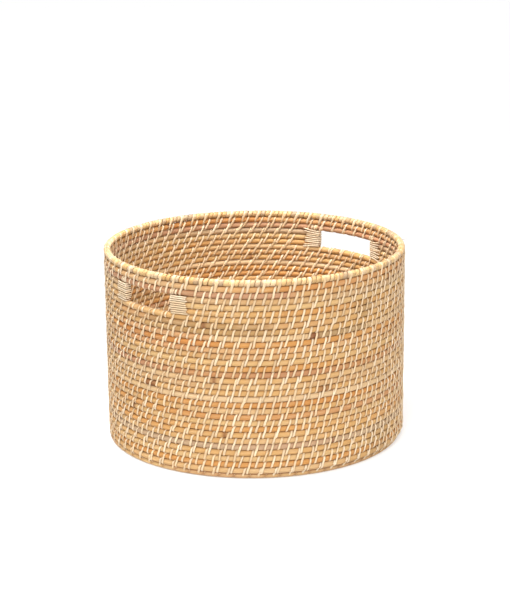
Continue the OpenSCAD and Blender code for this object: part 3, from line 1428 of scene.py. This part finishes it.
@dataclass
class Binding:
    """Cane strips laid side by side round the cut ends of the rods, at one end of a hand slot."""

    layout: Layout
    name: str
    angle: float
    turn: int
    strips: int = 9
    cane: Cane = Cane(2.2 * MM, 0.85 * MM, (Tone.CREAM, Tone.IVORY, Tone.IVORY), 4)

    def build(self, shop: Workshop) -> None:
        """Makes the strips."""
        shop.piece(f"{self.name}_look", self.lay(), Finish.STITCH, [self.name])

    def lay(self) -> list[Sweep]:
        """Lays all of its strips."""
        return [self.strip(index) for index in range(self.strips)]

    def strip(self, index: int) -> Sweep:
        """Lays one strip: along the outside, round the rod ends and back along the inside.

        Args:
            index: Number of the strip, from the bottom up.

        Returns:
            The strip.
        """
        layout = self.layout
        rng = np.random.default_rng(hash_of(self.name) + index)
        low, high = layout.course_z(layout.slot_low - 1), layout.course_z(layout.slot_top + 1)
        clear_low, clear_high = low + layout.rod_r, high - layout.rod_r
        pitch = (clear_high - clear_low) / self.strips
        middle = clear_low + (index + 0.5) * pitch
        place = (index + 0.5) / self.strips
        reach = layout.rod_r + 0.35 * MM
        length = layout.binding * layout.wall_r * rng.uniform(0.9, 1.12)
        flat = np.linspace(length, 1.6 * MM, 9)
        bend = np.linspace(0, math.pi, 9)[1:-1]
        along = np.concatenate([[length + 2.2 * MM, length + 1.2 * MM], flat,
                                1.6 * MM * (1 - np.sin(bend)) - 0.1 * MM, flat[::-1],
                                [length + 1.2 * MM, length + 2.2 * MM]])
        face = np.concatenate([[0.1, 0.75], np.ones(9), np.cos(bend), -np.ones(9), [-0.75, -0.1]])
        droop = -0.5 * MM * np.exp(-((along - 1 * MM) / (8 * MM)) ** 2)
        stray = rng.normal(0, 0.8 * MM)
        fan = ((place - 0.5) * 5.0 * MM + stray) * np.clip(-face, 0, 1) * np.clip(along / length, 0, 1) ** 2
        height = middle + droop * (1.05 - place) * np.clip(face + 0.3, 0, 1) + fan
        height += 0.12 * MM * rng.normal() * np.ones_like(along)
        back = 1.4 * MM * max(0.0, 1 - 3.2 * place) + 0.8 * MM * max(0.0, 3 * place - 2.2)
        angle = self.angle + self.turn * (along + back) / layout.wall_r
        points = polar(angle, layout.wall_r + face * reach, height)
        away = radial(angle)
        tangent = np.stack([-away[:, 1], away[:, 0], np.zeros(len(angle))], axis=1)
        sideways = np.sqrt(np.clip(1 - face ** 2, 0, 1))
        sideways[:2] = sideways[-2:] = 0.3
        out = unit(away * face[:, None] - self.turn * tangent * sideways[:, None])
        outline, stand = cane_outline(self.cane.width, self.cane.thickness)
        rings = len(points)
        tone = self.cane.tones[int(rng.integers(len(self.cane.tones)))]
        colour = np.array(tone.value) * rng.uniform(0.92, 1.05)
        # bare falls to 0 where the strip's ends pass into the wall, so the finish paints shade there as well
        # as along its edges.
        bare = np.clip((length + 1.5 * MM - along) / (2 * MM), 0, 1)
        wide = rng.uniform(0.95, 1.06) * (1 - 0.25 * np.clip(-face, 0, 1) * rng.uniform(0, 1))
        return Sweep(points, out, outline, np.stack([wide, np.ones(rings)], axis=1),
                     np.tile(colour, (rings, 1)), bare[:, None] * stand[None, :])


def hash_of(name: str) -> int:
    """Gives a steady number for a name."""
    return sum((i + 1) * ord(letter) for i, letter in enumerate(name))


# ---------------------------------------------------------------- studio


@dataclass
class Studio:
    """A pale floor, soft light and the camera."""

    azimuth: float = math.radians(-47.3)
    elevation: float = math.radians(16.476)
    distance: float = 2.4728
    roll: float = math.radians(-0.52)
    lens: float = 107.51
    sensor: float = 36.0
    pivot_z: float = 0.132
    aim_z: float = 0.1732
    light_aim_z: float = 0.13
    floor_half: float = 8.0

    def set_camera(self) -> None:
        """Places the camera and makes it the scene's."""
        away = Vector((math.sin(self.azimuth) * math.cos(self.elevation),
                       -math.cos(self.azimuth) * math.cos(self.elevation), math.sin(self.elevation)))
        place = Vector((0, 0, self.pivot_z)) + away * self.distance
        data = bpy.data.cameras.new("camera")
        data.lens, data.sensor_width = self.lens, self.sensor
        camera = bpy.data.objects.new("camera", data)
        turn = (Vector((0, 0, self.aim_z)) - place).to_track_quat("-Z", "Y")
        camera.rotation_mode = "QUATERNION"
        camera.rotation_quaternion = turn @ Quaternion((0, 0, 1), self.roll)
        camera.location = place
        bpy.context.scene.collection.objects.link(camera)
        bpy.context.scene.camera = camera

    def build(self) -> None:
        """Makes the floor and the lights."""
        scene = bpy.context.scene
        scene.view_settings.view_transform = "Standard"
        world = bpy.data.worlds.new("studio")
        world.use_nodes = True
        back = world.node_tree.nodes["Background"]
        back.inputs["Color"].default_value = (1.0, 1.0, 1.0, 1.0)
        back.inputs["Strength"].default_value = 1.0
        scene.world = world
        self._floor()
        self._softbox("key", (-1.7, -1.6, 2.0), 1.5, 68.0)
        self._softbox("top", (-0.17, 0.09, 1.25), 0.36, 2.2, math.radians(42))

    def _floor(self) -> None:
        """Makes the floor."""
        bm = bmesh.new()
        bmesh.ops.create_grid(bm, x_segments=1, y_segments=1, size=self.floor_half)
        mesh = bpy.data.meshes.new("floor")
        bm.to_mesh(mesh)
        bm.free()
        graph = Graph("floor_paint")
        graph.feed(graph.shader, {"Base Color": (0.56, 0.56, 0.56, 1.0), "Roughness": 0.9,
                                  "Emission Color": (1.0, 1.0, 1.0, 1.0), "Emission Strength": 0.4})
        mesh.materials.append(graph.material)
        floor = bpy.data.objects.new("floor", mesh)
        bpy.context.scene.collection.objects.link(floor)

    def _softbox(self, name: str, place: Sequence[float], size: float, power: float,
                 spread: float = math.pi) -> None:
        """Makes a square soft light that faces the basket.

        Args:
            name: Its name.
            place: Where it stands.
            size: Length of its side.
            power: Its power in watts.
            spread: Angle over which it shines.
        """
        data = bpy.data.lights.new(name, "AREA")
        data.size, data.energy, data.spread = size, power, spread
        light = bpy.data.objects.new(name, data)
        light.location = place
        light.rotation_mode = "QUATERNION"
        aim = Vector((0, 0, self.light_aim_z))
        light.rotation_quaternion = (aim - Vector(place)).to_track_quat("-Z", "Y")
        bpy.context.scene.collection.objects.link(light)


def main() -> None:
    """Builds the basket and its studio."""
    logging.basicConfig(level=logging.INFO, format="%(name)s: %(message)s")
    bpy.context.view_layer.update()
    layout = Layout.read()
    studio = Studio()
    studio.set_camera()
    shop = Workshop(layout)
    shop.palette.make()
    slots = Slots(layout)
    ends = (("left", "front", layout.left_front, 1), ("left", "back", layout.left_back, -1),
            ("right", "front", layout.right_front, -1), ("right", "back", layout.right_back, 1))
    bindings = [Binding(layout, f"{side}_slot_binding_{end}", angle, turn) for side, end, angle, turn in ends]
    lacing = Lacing(layout, slots)
    lacing.lay()
    lacing.cover([strip for binding in bindings for strip in binding.lay()])
    Wall(layout, slots).build(shop, lacing)
    Base(layout).build(shop, lacing)
    lacing.build(shop)
    Rim(layout).build(shop)
    for binding in bindings:
        binding.build(shop)
    shop.tubes.clear()
    studio.build()
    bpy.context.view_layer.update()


if __name__ == "__main__":
    main()
